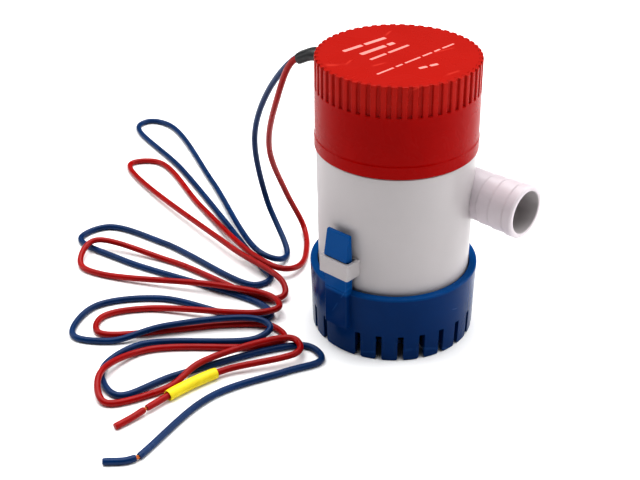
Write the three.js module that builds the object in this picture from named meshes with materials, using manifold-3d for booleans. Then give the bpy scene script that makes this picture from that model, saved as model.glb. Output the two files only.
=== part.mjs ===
// A cartridge-type submersible bilge pump, in millimetres, +Z up.
// The origin is on the pump's axis at the plane that the strainer stands on, and +X runs along the outlet nozzle.
import * as THREE from "three";
import { mergeVertices } from "three/addons/utils/BufferGeometryUtils.js";
import Module from "manifold-3d";

const wasm = await Module();
wasm.setup();

// ---------- driving dimensions ----------
const CLEARANCE = 0.3; // between pieces that touch

const BASE_TOP_Z = 28.6;
const BASE_FOOT_R = 32.4;
const BASE_RIM_R = 33.25;
const BASE_BORE_R = 30.2;
const BASE_SIEVE_R = 29.4; // inside of the slotted wall
const BASE_SKIRT_R = 30.8; // inside of its thinner part below the floor
const BASE_LEDGE_R = 27.4;
const BASE_LEDGE_Z = [11.4, 12.9];
const FLOOR_Z = [3.5, 5.5];
const FOOT_R = 7;
const SLOT_PITCH = 15; // degrees
const SLOT_WIDTH = 2.3;
const SLOT_TOP_Z = 11.2;
const SCREW_HOLE_R = 2.3;
const SCREW_HOLE_AT = 18;
const SCREW_PAD_R = 4.6;

const BODY_FOOT_Z = 13.2;
const BODY_FOOT_R = 29.6;
const BODY_LOW_R = 29.85; // where the body comes out of the base
const BODY_TOP_R = 30.6;
const BODY_SHOULDER_Z = 78.3;
const BODY_INNER_R = 27;
const NECK_R = 28.9;
const NECK_TOP_Z = 90;

const CAP_LIP_Z = 78.7;
const CAP_LIP_R = 31.3;
const CAP_STEP_Z = 83.6;
const CAP_SIDE_R = 31.1;
const CAP_RIB_Z = 102.6;
const CAP_TOP_R = 31;
const CAP_TOP_Z = 114.5;
const CAP_BORE_R = 29.25;
const CAP_INNER_R = 28.3;
const CAP_CEILING_Z = 112;
const RIBS = 52;
const RIB_DEPTH = 0.8;
const RIB_SHARE = 0.6; // of the pitch

const NOZZLE_Y = 19;
const NOZZLE_Z = 57.8;
const NOZZLE_END_X = 48;
const NOZZLE_START_X = 0; // well inside of the body's wall
const NOZZLE_BORE_R = 8.4;
const NOZZLE_OUTLINE = [ // x, radius
  [NOZZLE_START_X, 9.7], [31.4, 9.8], [32, 10.05], [37, 9.95], [37.6, 10.3], [43.5, 10.2],
  [44.2, 10.6], [47.2, 10.6], [NOZZLE_END_X, 10],
];

const LATCH_DIRECTIONS = { left: -90, right: 90 }; // degrees round the axis
const LATCH_WIDTH = 11;
const PANEL_FACE = 35.1; // distance of the latch panel's face from the axis
const PANEL_Z = [13, 29.2];
const ARM_ROOT_Z = 29.5;
const LOOP_Z = [35.8, 42.5];
const LOOP_WIDTH = 14.2;
const LOOP_FACE = 36.4;
const LOOP_WALL = 1.7;
const ARM_TOP_Z = 53.6;

const CHAMBER_R = 22.5;
const CHAMBER_INNER_R = 20.9;
const CHAMBER_FLOOR_Z = [26.5, 28.5];
const CHAMBER_FLANGE_Z = [90.3, 92.3];
const SEAL_BOSS_R = 6.5;
const SEAL_BOSS_Z = 22.2;

const MOTOR_R = 19.8;
const MOTOR_Z = [29.2, 77];
const MOTOR_WALL = 1.1;
const MAGNET_Z = [38, 70];
const MAGNET_R = [15.6, 18.4];
const CORE_Z = [42, 66];
const CORE_R = 14.9;
const COMMUTATOR_Z = [70, 76];
const COMMUTATOR_R = 4.4;
const SHAFT_R = 1.6;
const SHAFT_Z = [15.8, 80.5];

const PLATE_Z = [13.2, 15];
const EYE_R = 7.5;
const IMPELLER_R = 18;
const IMPELLER_Z = [15.7, 20.4, 21.6]; // blade foot, blade top, shroud top
const BLADES = 6;

const WIRE_D = 2.6;
const WIRE_SIDES = 8;
const REST_Z = 1.4; // a wire's centre where it lies on the floor
const OVER_Z = 4.5; // a wire's centre where it lies on another
const GLAND_DIRECTION = 190;
const GLAND_Z = 107;

// ---------- colours ----------
const finish = (color, roughness, metalness = 0) => new THREE.MeshStandardMaterial({ color, roughness, metalness });
const RED_PLASTIC = finish(0xb5120f, 0.4);
const WHITE_PLASTIC = finish(0xd9d5d6, 0.45);
const BLUE_PLASTIC = finish(0x0a3a86, 0.3);
const GREY_PLASTIC = finish(0x7d8084, 0.5);
const RUBBER = finish(0x15151a, 0.7);
const STEEL = finish(0xb9bcc0, 0.3, 1);
const ZINC = finish(0xa3a7ab, 0.42, 1);
const FERRITE = finish(0x2c2c30, 0.8);
const COPPER = finish(0xb8683a, 0.35, 1);
const BRONZE = finish(0x9c7a4a, 0.5, 1);
const GRAPHITE = finish(0x2a2a2a, 0.6);
const CERAMIC = finish(0x9b6a2f, 0.5);
const RED_WIRE = finish(0xb01616, 0.4);
const BLUE_WIRE = finish(0x143a7a, 0.4);
const YELLOW_SLEEVE = finish(0xe0cf28, 0.5);

// ---------- geometry helpers ----------
const radians = (degrees) => (degrees * Math.PI) / 180;

function solidOf(geometry) {
  const bare = geometry.clone();
  for (const name of Object.keys(bare.attributes)) if (name !== "position") bare.deleteAttribute(name);
  const merged = mergeVertices(bare, 1e-4);
  return new wasm.Manifold(
    new wasm.Mesh({
      numProp: 3,
      vertProperties: merged.attributes.position.array,
      triVerts: new Uint32Array(merged.index.array),
    }),
  );
}

function geometryOf(solid) {
  const mesh = solid.getMesh();
  const geometry = new THREE.BufferGeometry();
  geometry.setAttribute("position", new THREE.BufferAttribute(new Float32Array(mesh.vertProperties), 3));
  geometry.setIndex(new THREE.BufferAttribute(new Uint32Array(mesh.triVerts), 1));
  geometry.computeVertexNormals();
  return geometry;
}

const join = (...parts) => geometryOf(parts.map(solidOf).reduce((sum, part) => sum.add(part)));
const cut = (whole, ...holes) =>
  geometryOf(holes.map(solidOf).reduce((left, hole) => left.subtract(hole), solidOf(whole)));

// A closed solid of revolution about Z. The outline is [radius, z] points, going up the outside.
function turned(outline, segments = 48) {
  const points = [...outline, outline[0]].map(([radius, z]) => new THREE.Vector2(Math.max(radius, 0), z));
  const geometry = new THREE.LatheGeometry(points, segments);
  return geometry.rotateX(Math.PI / 2);
}

// A ring or, with an inner radius of 0, a disc.
function ring(inner, outer, low, high, segments = 48) {
  return turned([[inner, low], [outer, low], [outer, high], [inner, high]], segments);
}

// A block from its lowest to its highest corner.
function block(low, high) {
  const size = low.map((value, i) => high[i] - value);
  return new THREE.BoxGeometry(...size).translate(...low.map((value, i) => value + size[i] / 2));
}

// A flat outline of [x, y] points pushed up from low to high.
function pushed(outline, low, high) {
  const shape = new THREE.Shape(outline.map(([x, y]) => new THREE.Vector2(x, y)));
  const geometry = new THREE.ExtrudeGeometry(shape, { depth: high - low, bevelEnabled: false });
  return geometry.translate(0, 0, low);
}

// An outline in the plane of the radius and Z, pushed sideways by width, facing out along the direction.
function radialSlab(outline, width, direction) {
  const geometry = pushed(outline, -width / 2, width / 2);
  return geometry.rotateX(Math.PI / 2).rotateZ(radians(direction));
}

// The part of a ring between two directions.
function sector(inner, outer, low, high, start, end, steps) {
  const at = (radius, i) => {
    const angle = radians(start + ((end - start) * i) / steps);
    return [radius * Math.cos(angle), radius * Math.sin(angle)];
  };
  const outline = [];
  for (let i = 0; i <= steps; i++) outline.push(at(outer, i));
  for (let i = steps; i >= 0; i--) outline.push(at(inner, i));
  return pushed(outline, low, high);
}

// A smooth line whose steps are shared out evenly between its points, so that tight bends get short steps.
class Route extends THREE.CatmullRomCurve3 {
  constructor(points, floor = -Infinity) {
    super(points.map((point) => new THREE.Vector3(...point)), false, "centripetal");
    this.floor = floor;
  }
  getPoint(t, target) {
    const point = super.getPoint(t, target);
    point.z = Math.max(point.z, this.floor);
    return point;
  }
  getUtoTmapping(u) {
    return u;
  }
}

function circle(radius, sides) {
  const corners = Array.from({ length: sides }, (_, i) => {
    const angle = (2 * Math.PI * i) / sides;
    return new THREE.Vector2(radius * Math.cos(angle), radius * Math.sin(angle));
  });
  return new THREE.Shape(corners);
}

function tube(route, section, steps) {
  return new THREE.ExtrudeGeometry(section, { steps, bevelEnabled: false, extrudePath: route });
}

const pump = new THREE.Group();
function add(name, geometry, material) {
  const mesh = new THREE.Mesh(geometry, material);
  mesh.name = name;
  pump.add(mesh);
  return mesh;
}

// ---------- strainer base ----------
function strainerBase() {
  const wall = turned(
    [
      [BASE_SIEVE_R, FLOOR_Z[0]], [BASE_SKIRT_R, FLOOR_Z[0]], [BASE_SKIRT_R, 0], [BASE_FOOT_R, 0],
      [BASE_RIM_R, BASE_TOP_Z - 0.7], [BASE_RIM_R - 0.5, BASE_TOP_Z],
      [BASE_BORE_R, BASE_TOP_Z], [BASE_BORE_R, BASE_LEDGE_Z[1]], [BASE_LEDGE_R, BASE_LEDGE_Z[1]],
      [BASE_LEDGE_R, BASE_LEDGE_Z[0]], [BASE_SIEVE_R, BASE_LEDGE_Z[0]],
    ],
    72,
  );
  const floor = ring(0, BASE_SIEVE_R + 1, ...FLOOR_Z, 72);
  const foot = ring(0, FOOT_R, 0, FLOOR_Z[0] + 0.5, 32);
  const side = [-1, 1];
  const pads = side.map((s) => ring(0, SCREW_PAD_R, 0, FLOOR_Z[1], 24).translate(s * SCREW_HOLE_AT, 0, 0));
  const holes = side.map((s) => ring(0, SCREW_HOLE_R, -1, FLOOR_Z[1] + 1, 20).translate(s * SCREW_HOLE_AT, 0, 0));
  const slots = [];
  for (let angle = 0; angle < 360; angle += SLOT_PITCH) {
    if (Math.abs(Math.cos(radians(angle))) < 0.01) continue; // the broad teeth under the latches
    const slot = block([BASE_SIEVE_R - 3.5, -SLOT_WIDTH / 2, -1], [BASE_RIM_R + 1, SLOT_WIDTH / 2, SLOT_TOP_Z]);
    slots.push(slot.rotateZ(radians(angle)));
  }
  const panels = Object.values(LATCH_DIRECTIONS).map((direction) =>
    radialSlab(
      [[BASE_BORE_R + 1, PANEL_Z[0]], [PANEL_FACE, PANEL_Z[0]], [PANEL_FACE, PANEL_Z[1]],
        [BASE_BORE_R + 1, PANEL_Z[1]]],
      LATCH_WIDTH,
      direction,
    ),
  );
  return cut(join(wall, floor, foot, ...pads, ...panels), ...slots, ...holes, ring(0, BASE_BORE_R, 20, 40, 72));
}
add("strainer_base", strainerBase(), BLUE_PLASTIC);

// The springy tongue that passes up inside the body's loop and hooks over it.
const ARM_OUTLINE = [ // distance from the axis, z
  [31.6, ARM_ROOT_Z], [PANEL_FACE, ARM_ROOT_Z], [PANEL_FACE, LOOP_Z[0] - 0.35], [33.9, LOOP_Z[0] - 0.35],
  [33.9, LOOP_Z[1] + 0.35], [35.4, LOOP_Z[1] + 0.35], [33.5, ARM_TOP_Z], [32.15, ARM_TOP_Z], [31.6, LOOP_Z[1]],
];
for (const [side, direction] of Object.entries(LATCH_DIRECTIONS)) {
  add(`latch_arm_${side}`, radialSlab(ARM_OUTLINE, LATCH_WIDTH, direction), BLUE_PLASTIC);
}

// ---------- pump body ----------
function pumpBody() {
  const shell = turned(
    [
      [0, BODY_FOOT_Z], [BODY_FOOT_R, BODY_FOOT_Z], [BODY_LOW_R, BASE_TOP_Z], [BODY_TOP_R, BODY_SHOULDER_Z],
      [NECK_R, BODY_SHOULDER_Z], [NECK_R, 82], [NECK_R - 1.3, 82], [NECK_R - 1.3, 84.2], [NECK_R, 84.2],
      [NECK_R, NECK_TOP_Z], [0, NECK_TOP_Z],
    ],
    72,
  );
  const nozzle = turned(
    [[0, NOZZLE_START_X], ...NOZZLE_OUTLINE.map(([x, radius]) => [radius, x]), [0, NOZZLE_END_X]],
    40,
  );
  const loops = Object.values(LATCH_DIRECTIONS).map((direction) => {
    const whole = block([BODY_INNER_R + 1.2, -LOOP_WIDTH / 2, LOOP_Z[0]], [LOOP_FACE, LOOP_WIDTH / 2, LOOP_Z[1]]);
    return whole.rotateZ(radians(direction));
  });
  const eyes = Object.values(LATCH_DIRECTIONS).map((direction) => {
    const half = LATCH_WIDTH / 2 + 0.4;
    const hole = radialSlab(
      [[25, LOOP_Z[0] - 1], [LOOP_FACE - LOOP_WALL, LOOP_Z[0] - 1], [LOOP_FACE - LOOP_WALL, LOOP_Z[1] + 1],
        [25, LOOP_Z[1] + 1]],
      2 * half,
      direction,
    );
    return geometryOf(solidOf(hole).subtract(solidOf(ring(0, BODY_LOW_R + 0.1, 30, 50, 72))));
  });
  const inside = ring(0, BODY_INNER_R, 0, 100, 72);
  const alongX = (geometry) => geometry.rotateY(Math.PI / 2).translate(0, NOZZLE_Y, NOZZLE_Z);
  const bore = ring(0, NOZZLE_BORE_R, NOZZLE_START_X + 4, NOZZLE_END_X + 1, 40);
  return cut(join(shell, alongX(nozzle), ...loops), inside, alongX(bore), ...eyes);
}
add("pump_body", pumpBody(), WHITE_PLASTIC);
add("inlet_plate", join(
  ring(EYE_R, BODY_INNER_R - CLEARANCE, ...PLATE_Z),
  ring(EYE_R, EYE_R + 1.5, PLATE_Z[0] - 2.5, PLATE_Z[1]),
), WHITE_PLASTIC);
const O_RING = { radius: NECK_R - 0.45, section: 0.72, z: 83.1 };
add("cap_seal_ring", turned(
  Array.from({ length: 8 }, (_, i) => {
    const angle = (2 * Math.PI * i) / 8;
    return [O_RING.radius + O_RING.section * Math.cos(angle), O_RING.z + O_RING.section * Math.sin(angle)];
  }),
  44,
), RUBBER);

// ---------- motor cap ----------
// A slot-shaped outline with round ends, wide along Y. Two wires lie in it side by side.
function ovalPoints(width, height, steps = 6) {
  const half = (width - height) / 2;
  const points = [];
  for (const side of [1, -1]) {
    for (let i = 0; i <= steps; i++) {
      const angle = (Math.PI * i) / steps + (side < 0 ? Math.PI : 0);
      points.push([(height / 2) * Math.cos(angle), side * half + (height / 2) * Math.sin(angle)]);
    }
  }
  return points;
}
// A straight oval rod, or with a bore an oval ring, along the direction of the cable outlet.
function glandPiece(outside, bore, start, end) {
  const shape = new THREE.Shape(ovalPoints(...outside).map(([x, y]) => new THREE.Vector2(x, y)));
  if (bore) shape.holes.push(new THREE.Path(ovalPoints(...bore).map(([x, y]) => new THREE.Vector2(x, y))));
  const geometry = new THREE.ExtrudeGeometry(shape, { depth: end - start, bevelEnabled: false });
  return geometry.translate(0, 0, start).rotateY(Math.PI / 2).translate(0, 0, GLAND_Z)
    .rotateZ(radians(GLAND_DIRECTION));
}
function motorCap() {
  const outline = [];
  for (let i = 0; i < RIBS; i++) {
    const corners = [
      [0, CAP_TOP_R], [RIB_SHARE, CAP_TOP_R], [RIB_SHARE + 0.1, CAP_TOP_R - RIB_DEPTH], [0.9, CAP_TOP_R - RIB_DEPTH],
    ];
    for (const [share, radius] of corners) {
      const angle = (2 * Math.PI * (i + share)) / RIBS;
      outline.push([radius * Math.cos(angle), radius * Math.sin(angle)]);
    }
  }
  const ribbed = pushed(outline, CAP_RIB_Z - 0.5, CAP_TOP_Z);
  const skirt = turned(
    [
      [0, CAP_LIP_Z], [CAP_LIP_R, CAP_LIP_Z], [CAP_LIP_R, CAP_STEP_Z], [CAP_SIDE_R, CAP_STEP_Z + 0.3],
      [CAP_SIDE_R - 0.05, CAP_RIB_Z], [0, CAP_RIB_Z],
    ],
    72,
  );
  const inside = turned(
    [[0, 70], [CAP_BORE_R, 70], [CAP_BORE_R, NECK_TOP_Z + 2.7], [CAP_INNER_R, NECK_TOP_Z + 2.8],
      [CAP_INNER_R, CAP_CEILING_Z], [0, CAP_CEILING_Z]],
    72,
  );
  return cut(join(skirt, ribbed), inside, glandPiece([7.8, 4.9], null, 22, 36));
}
add("motor_cap", motorCap(), RED_PLASTIC);

// ---------- dry motor chamber and shaft seal ----------
const MOUNT_SCREW_AT = 11; // along Y, either side of the shaft
const screwHoles = (radius, low, high) =>
  [-1, 1].map((s) => ring(0, radius, low, high, 16).translate(0, s * MOUNT_SCREW_AT, 0));
add("motor_chamber", cut(turned([
  [SHAFT_R + 0.5, CHAMBER_FLOOR_Z[0]], [5, CHAMBER_FLOOR_Z[0]], [5, SEAL_BOSS_Z], [SEAL_BOSS_R, SEAL_BOSS_Z],
  [SEAL_BOSS_R, CHAMBER_FLOOR_Z[0]], [CHAMBER_R - 1, CHAMBER_FLOOR_Z[0]], [CHAMBER_R, CHAMBER_FLOOR_Z[0] + 1],
  [CHAMBER_R, CHAMBER_FLANGE_Z[0]], [NECK_R, CHAMBER_FLANGE_Z[0]], [NECK_R, CHAMBER_FLANGE_Z[1]],
  [CHAMBER_INNER_R, CHAMBER_FLANGE_Z[1]], [CHAMBER_INNER_R, CHAMBER_FLOOR_Z[1]],
  [SHAFT_R + 0.5, CHAMBER_FLOOR_Z[1]],
], 48), ...screwHoles(1.8, 25, 29)), GREY_PLASTIC);
add("shaft_seal", turned([
  [SHAFT_R + 0.15, 23.2], [2.6, 23.2], [4.7, 23.2], [4.7, 26.2], [3.6, 26.2], [3.6, 24.4], [2.4, 24.4], [2.2, 25.6],
  [SHAFT_R + 0.15, 25.2],
], 32), RUBBER);
add("seal_retainer", ring(SHAFT_R + 0.6, 4.7, 22.3, 22.9, 32), STEEL);

// ---------- motor ----------
add("motor_can", cut(turned([
  [4.3, MOTOR_Z[0]], [MOTOR_R - 1, MOTOR_Z[0]], [MOTOR_R, MOTOR_Z[0] + 1], [MOTOR_R, MOTOR_Z[1]],
  [MOTOR_R - MOTOR_WALL, MOTOR_Z[1]], [MOTOR_R - MOTOR_WALL, MOTOR_Z[0] + MOTOR_WALL],
  [4.3, MOTOR_Z[0] + MOTOR_WALL],
], 48), ...screwHoles(1.8, 29, 31)), ZINC);
const SCREW_HEAD_Z = [24.9, 26.2];
for (const [side, s] of [["left", -1], ["right", 1]]) {
  const screw = turned([
    [0, SCREW_HEAD_Z[0]], [2.4, SCREW_HEAD_Z[0]], [3, SCREW_HEAD_Z[0] + 0.5], [3, SCREW_HEAD_Z[1]],
    [1.45, SCREW_HEAD_Z[1]], [1.45, 31.4], [1.1, 31.9], [0, 31.9],
  ], 20);
  const drive = [0, 90].map((angle) =>
    block([-1.7, -0.3, 24], [1.7, 0.3, SCREW_HEAD_Z[0] + 0.7]).rotateZ(radians(angle)),
  );
  add(`motor_screw_${side}`, cut(screw, ...drive).translate(0, s * MOUNT_SCREW_AT, 0), STEEL);
}
add("magnet_left", sector(...MAGNET_R, ...MAGNET_Z, 110, 250, 16), FERRITE);
add("magnet_right", sector(...MAGNET_R, ...MAGNET_Z, -70, 70, 16), FERRITE);
const CLIP_HALF_ANGLE = 17;
add("magnet_clip", join(
  sector(17.7, 18.4, MAGNET_Z[0] + 4, MAGNET_Z[1] - 4, 90 - CLIP_HALF_ANGLE, 90 + CLIP_HALF_ANGLE, 6),
  ...[-1, 1].map((s) => {
    const middle = 90 + s * (CLIP_HALF_ANGLE - 1.1);
    return sector(15.8, 18, MAGNET_Z[0] + 4, MAGNET_Z[1] - 4, middle - 1.1, middle + 1.1, 1);
  }),
), STEEL);
const BUSH_R = 4;
add("bearing_lower", ring(SHAFT_R + 0.15, BUSH_R, MOTOR_Z[0] - 0.2, MOTOR_Z[0] + 4.5, 28), BRONZE);
function endBell() {
  const disc = turned([
    [4.3, MOTOR_Z[1] + CLEARANCE], [MOTOR_R, MOTOR_Z[1] + CLEARANCE], [MOTOR_R, MOTOR_Z[1] + 2],
    [MOTOR_R - 3, MOTOR_Z[1] + 3.2], [6.5, MOTOR_Z[1] + 3.2], [6.5, MOTOR_Z[1] + 5], [4.3, MOTOR_Z[1] + 5],
  ], 48);
  const spigot = ring(MOTOR_R - MOTOR_WALL - 1.6, MOTOR_R - MOTOR_WALL - CLEARANCE, MOTOR_Z[1] - 3, MOTOR_Z[1] + 1);
  const slits = [-1, 1].map((s) => {
    const x = s * 13;
    return block([x - 0.75, -3.4, 60], [x + 0.75, 3.4, 90]);
  });
  return cut(join(disc, spigot), ...slits);
}
add("motor_end_bell", endBell(), GREY_PLASTIC);
add("bearing_upper", ring(SHAFT_R + 0.15, BUSH_R, MOTOR_Z[1] + 0.6, MOTOR_Z[1] + 4.8, 28), BRONZE);

// A winding's outside: narrower near the hub, where the three meet.
function radialCoil([inner, outer], half, low, high, angle) {
  const outline = [[inner, -3.1], [outer, -half - 0.6], [outer, half + 0.6], [inner, 3.1]];
  return pushed(outline, low, high).rotateZ(radians(angle));
}

// ---------- rotor ----------
add("motor_shaft", ring(0, SHAFT_R, ...SHAFT_Z, 20), STEEL);
const POLE_ANGLES = [30, 150, 270];
const HUB_R = 5;
const STEM_WIDTH = 5;
const SHOE_INNER_R = 12.2;
function armatureCore() {
  const hub = ring(0, HUB_R, ...CORE_Z, 30);
  const poles = POLE_ANGLES.flatMap((angle) => [
    block([2, -STEM_WIDTH / 2, CORE_Z[0]], [SHOE_INNER_R + 1, STEM_WIDTH / 2, CORE_Z[1]]).rotateZ(radians(angle)),
    sector(SHOE_INNER_R, CORE_R, ...CORE_Z, angle - 50, angle + 50, 12),
  ]);
  return cut(join(hub, ...poles), ring(0, SHAFT_R + 0.15, 30, 80, 20));
}
add("armature_core", armatureCore(), ZINC);
const COIL_R = [5.6, 11.8];
const COIL_THICK = 3;
POLE_ANGLES.forEach((angle, i) => {
  const hole = [STEM_WIDTH / 2 + CLEARANCE, CORE_Z[0] - CLEARANCE, CORE_Z[1] + CLEARANCE];
  const outside = radialCoil(COIL_R, hole[0] + COIL_THICK, hole[1] - COIL_THICK, hole[2] + COIL_THICK, angle);
  const inside = block([0, -hole[0], hole[1]], [20, hole[0], hole[2]]).rotateZ(radians(angle));
  const beyond = ring(COIL_R[1], COIL_R[1] + 8, 30, 80, 48);
  add(`armature_coil_${i + 1}`, cut(outside, inside, beyond), COPPER);
});
function commutator() {
  const barrel = ring(SHAFT_R + 0.15, COMMUTATOR_R, ...COMMUTATOR_Z, 30);
  const grooves = POLE_ANGLES.map((angle) =>
    block([COMMUTATOR_R - 1, -0.25, 60], [COMMUTATOR_R + 1, 0.25, 90]).rotateZ(radians(angle)),
  );
  return cut(barrel, ...grooves);
}
add("commutator", commutator(), COPPER);
function impeller() {
  const [foot, top, shroud] = IMPELLER_Z;
  const disc = ring(0, IMPELLER_R, top, shroud, 48);
  const hub = turned([[0, foot + 0.6], [2.6, foot + 0.6], [3.8, top], [3.8, shroud], [0, shroud]], 24);
  const blades = [];
  for (let i = 0; i < BLADES; i++) {
    const front = [];
    const back = [];
    for (let step = 0; step <= 6; step++) {
      const radius = 5 + ((IMPELLER_R - 5) * step) / 6;
      const angle = (2 * Math.PI * i) / BLADES - radians(60) * (step / 6) ** 1.2;
      const half = 0.75 / radius;
      front.push([radius * Math.cos(angle + half), radius * Math.sin(angle + half)]);
      back.unshift([radius * Math.cos(angle - half), radius * Math.sin(angle - half)]);
    }
    blades.push(pushed([...back.reverse(), ...front.reverse()], foot, top + 0.3));
  }
  return cut(join(disc, hub, ...blades), ring(0, SHAFT_R + 0.15, foot + 1.2 - 3, shroud + 1, 20));
}
add("impeller", impeller(), RED_PLASTIC);

// ---------- brush gear, terminals and capacitor ----------
for (const [side, s] of [["left", -1], ["right", 1]]) {
  add(`brush_${side}`, block(
    [COMMUTATOR_R + CLEARANCE, -1.6, 71.2],
    [9.6, 1.6, 74.8],
  ).rotateZ(s < 0 ? Math.PI : 0), GRAPHITE);
  const arm = join(
    block([9.9, -1.4, 71.4], [10.3, 1.4, 76.2]),
    block([9.9, -1.4, 75.8], [15.2, 1.4, 76.2]),
  );
  add(`brush_arm_${side}`, arm.rotateZ(s < 0 ? Math.PI : 0), COPPER);
  const blade = block([12.7, -3, 76.5], [13.3, 3, 87.5]);
  add(`terminal_${side}`, blade.rotateZ(s < 0 ? Math.PI : 0), BRONZE);
}
add("suppressor_capacitor", new THREE.CylinderGeometry(4, 4, 2.6, 24).translate(0, 10.5, MOTOR_Z[1] + 7.6),
  CERAMIC);

// ---------- sleeve and wires ----------
const BLUE_ROUTE = [
  [-38.5, -5.55, 106], [-44.2, -7.3, 103.5], [-67, -1.5, 80], [-83, 6, 51], [-85, 14, 18],
  [-63.8, 4.9, 1.8], [-61.2, -3.3, 3.4], [-69.6, -6, 4.6], [-140, 31, REST_Z], [-204, 60.5, REST_Z],
  [-216, 57, REST_Z], [-215.5, 48.5, REST_Z], [-160, 29.5, REST_Z], [-65, -10.5, REST_Z],
  [-55, -14.5, REST_Z], [-56.5, -23, REST_Z], [-112, -25, REST_Z], [-143, -32.5, REST_Z],
  [-144, -47.5, REST_Z], [-115, -47, REST_Z], [-44, -31.8, REST_Z], [-35, -35, REST_Z],
  [-39.7, -42.4, REST_Z], [-79, -56.5, REST_Z], [-95, -79, REST_Z], [-85, -98, REST_Z],
  [-70.5, -90.5, REST_Z], [-59, -72.5, OVER_Z], [-35, -44.3, 4.7], [-26.9, -43.5, 3.9],
  [-27, -51.6, 2.5], [-60, -85, REST_Z], [-58, -105, REST_Z], [-41, -111.5, REST_Z],
  [-34, -88, REST_Z], [-10, -41, REST_Z], [1, -44, REST_Z], [-4, -58, REST_Z], [-14.5, -88, REST_Z],
  [-8.5, -129, REST_Z],
];
const RED_ROUTE = [
  [-37.6, -8.45, 106], [-43.3, -10.2, 103.5], [-56, -7.2, 82], [-75, 7, 48], [-79, 21, 20],
  [-72, 25, 2.5], [-52, 1, 2.5], [-53, -9, OVER_Z], [-68, -9.7, OVER_Z], [-125, 9.5, REST_Z],
  [-176, 27, REST_Z], [-184.5, 16.5, REST_Z], [-84, -11, OVER_Z], [-46, -16.7, OVER_Z],
  [-40, -22.2, 2.6], [-46.2, -27.9, REST_Z], [-100, -34, REST_Z], [-133, -48.5, 4.9],
  [-124, -62.5, REST_Z], [-64, -36.5, OVER_Z], [-42, -28, OVER_Z], [-33.7, -31.3, OVER_Z],
  [-36.3, -39.7, 4.8], [-78, -66, REST_Z], [-86.5, -82, REST_Z], [-78.5, -90, REST_Z],
  [-43, -50.5, REST_Z], [-30, -40.3, REST_Z], [-19.5, -43, REST_Z], [-21.6, -51.6, REST_Z],
  [-56, -87, REST_Z], [-53, -110, OVER_Z], [-41, -117.5, REST_Z], [-30.5, -96, REST_Z],
  [-29.8, -79, OVER_Z], [-14.5, -44, OVER_Z], [-6.8, -48.3, 4.2], [-21.5, -75, 2.5], [-25.3, -92, 2.3],
  [-26.2, -110, 2.3],
];
const SLEEVE_SECTION = [7.3, 4.4];
const SLEEVE_BORE = [6.5, 3.6];
const sleeveShape = new THREE.Shape(ovalPoints(...SLEEVE_SECTION).map(([x, y]) => new THREE.Vector2(x, y)));
sleeveShape.holes.push(new THREE.Path(ovalPoints(...SLEEVE_BORE).map(([x, y]) => new THREE.Vector2(x, y))));
const SLEEVE_ROUTE = [[-23.6, -4.16, GLAND_Z], [-31, -5.47, GLAND_Z], [-36.5, -6.5, 106.8], [-42, -8.2, 104.3]];
add("cable_sleeve", tube(new Route(SLEEVE_ROUTE), sleeveShape, 9), RUBBER);
add("potting_plug", glandPiece([11, 8.6], [7.8, 4.9], 23.6, 27.2), RUBBER);

const wireSection = circle(WIRE_D / 2, WIRE_SIDES);
const redRoute = new Route(RED_ROUTE, REST_Z);
add("blue_wire", tube(new Route(BLUE_ROUTE, REST_Z), wireSection, 2 * (BLUE_ROUTE.length - 1)), BLUE_WIRE);
add("red_wire", tube(redRoute, wireSection, 2 * (RED_ROUTE.length - 1)), RED_WIRE);

// The cut ends of the insulation, pulled a little way off the strands.
const BLUE_END = [[-8.7, -130, 1.5], [-10.5, -133.5, REST_Z], [-16, -139, REST_Z]];
const RED_END = [[-26.25, -111, 2.25], [-26.5, -116, 1.8], [-27.5, -124, REST_Z]];
add("blue_end_sleeve", tube(new Route(BLUE_END), wireSection, 4), BLUE_WIRE);
add("red_end_sleeve", tube(new Route(RED_END), wireSection, 4), RED_WIRE);

// The tag sleeve, slipped on to the red wire's last stretch.
const TAG_R = [1.62, 2.2];
const TAG_STEPS = [74.4, 75, 76, 76.95]; // counted in steps of the red wire
const tagRing = circle(TAG_R[1], 12);
tagRing.holes.push(new THREE.Path(circle(TAG_R[0], 12).getPoints()));
const redCorner = (step) => redRoute.getPoint(step / (2 * (RED_ROUTE.length - 1)));
const tagRoute = TAG_STEPS.map((step) => {
  const start = redCorner(Math.floor(step));
  return start.lerp(redCorner(Math.ceil(step)), step % 1).toArray();
});
add("yellow_tag_sleeve", tube(new Route(tagRoute), tagRing, TAG_STEPS.length - 1), YELLOW_SLEEVE);

// Leads from the motor's terminals to the outlet, where they become the two wires.
const LEADS = {
  blue: [[-13, 0, 89.2], [-14, 1, 94], [-17, -0.8, 101], [-23, -2.6, 106.4], [-30, -3.85, GLAND_Z],
    [-35, -4.75, 106.95], [-38, -5.4, 106.25]],
  red: [[13, 0, 89.2], [12, -4, 95], [4, -9, 100.5], [-10, -9, 104.5], [-22, -5.5, 106.8], [-30, -6.8, GLAND_Z],
    [-34.5, -7.6, 106.95], [-37.1, -8.3, 106.3]],
};
add("lead_blue", tube(new Route(LEADS.blue), wireSection, 15), BLUE_WIRE);
add("lead_red", tube(new Route(LEADS.red), wireSection, 18), RED_WIRE);

export default pump;
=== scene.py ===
import math

import bmesh
import bpy
from mathutils import Matrix, Vector


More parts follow.
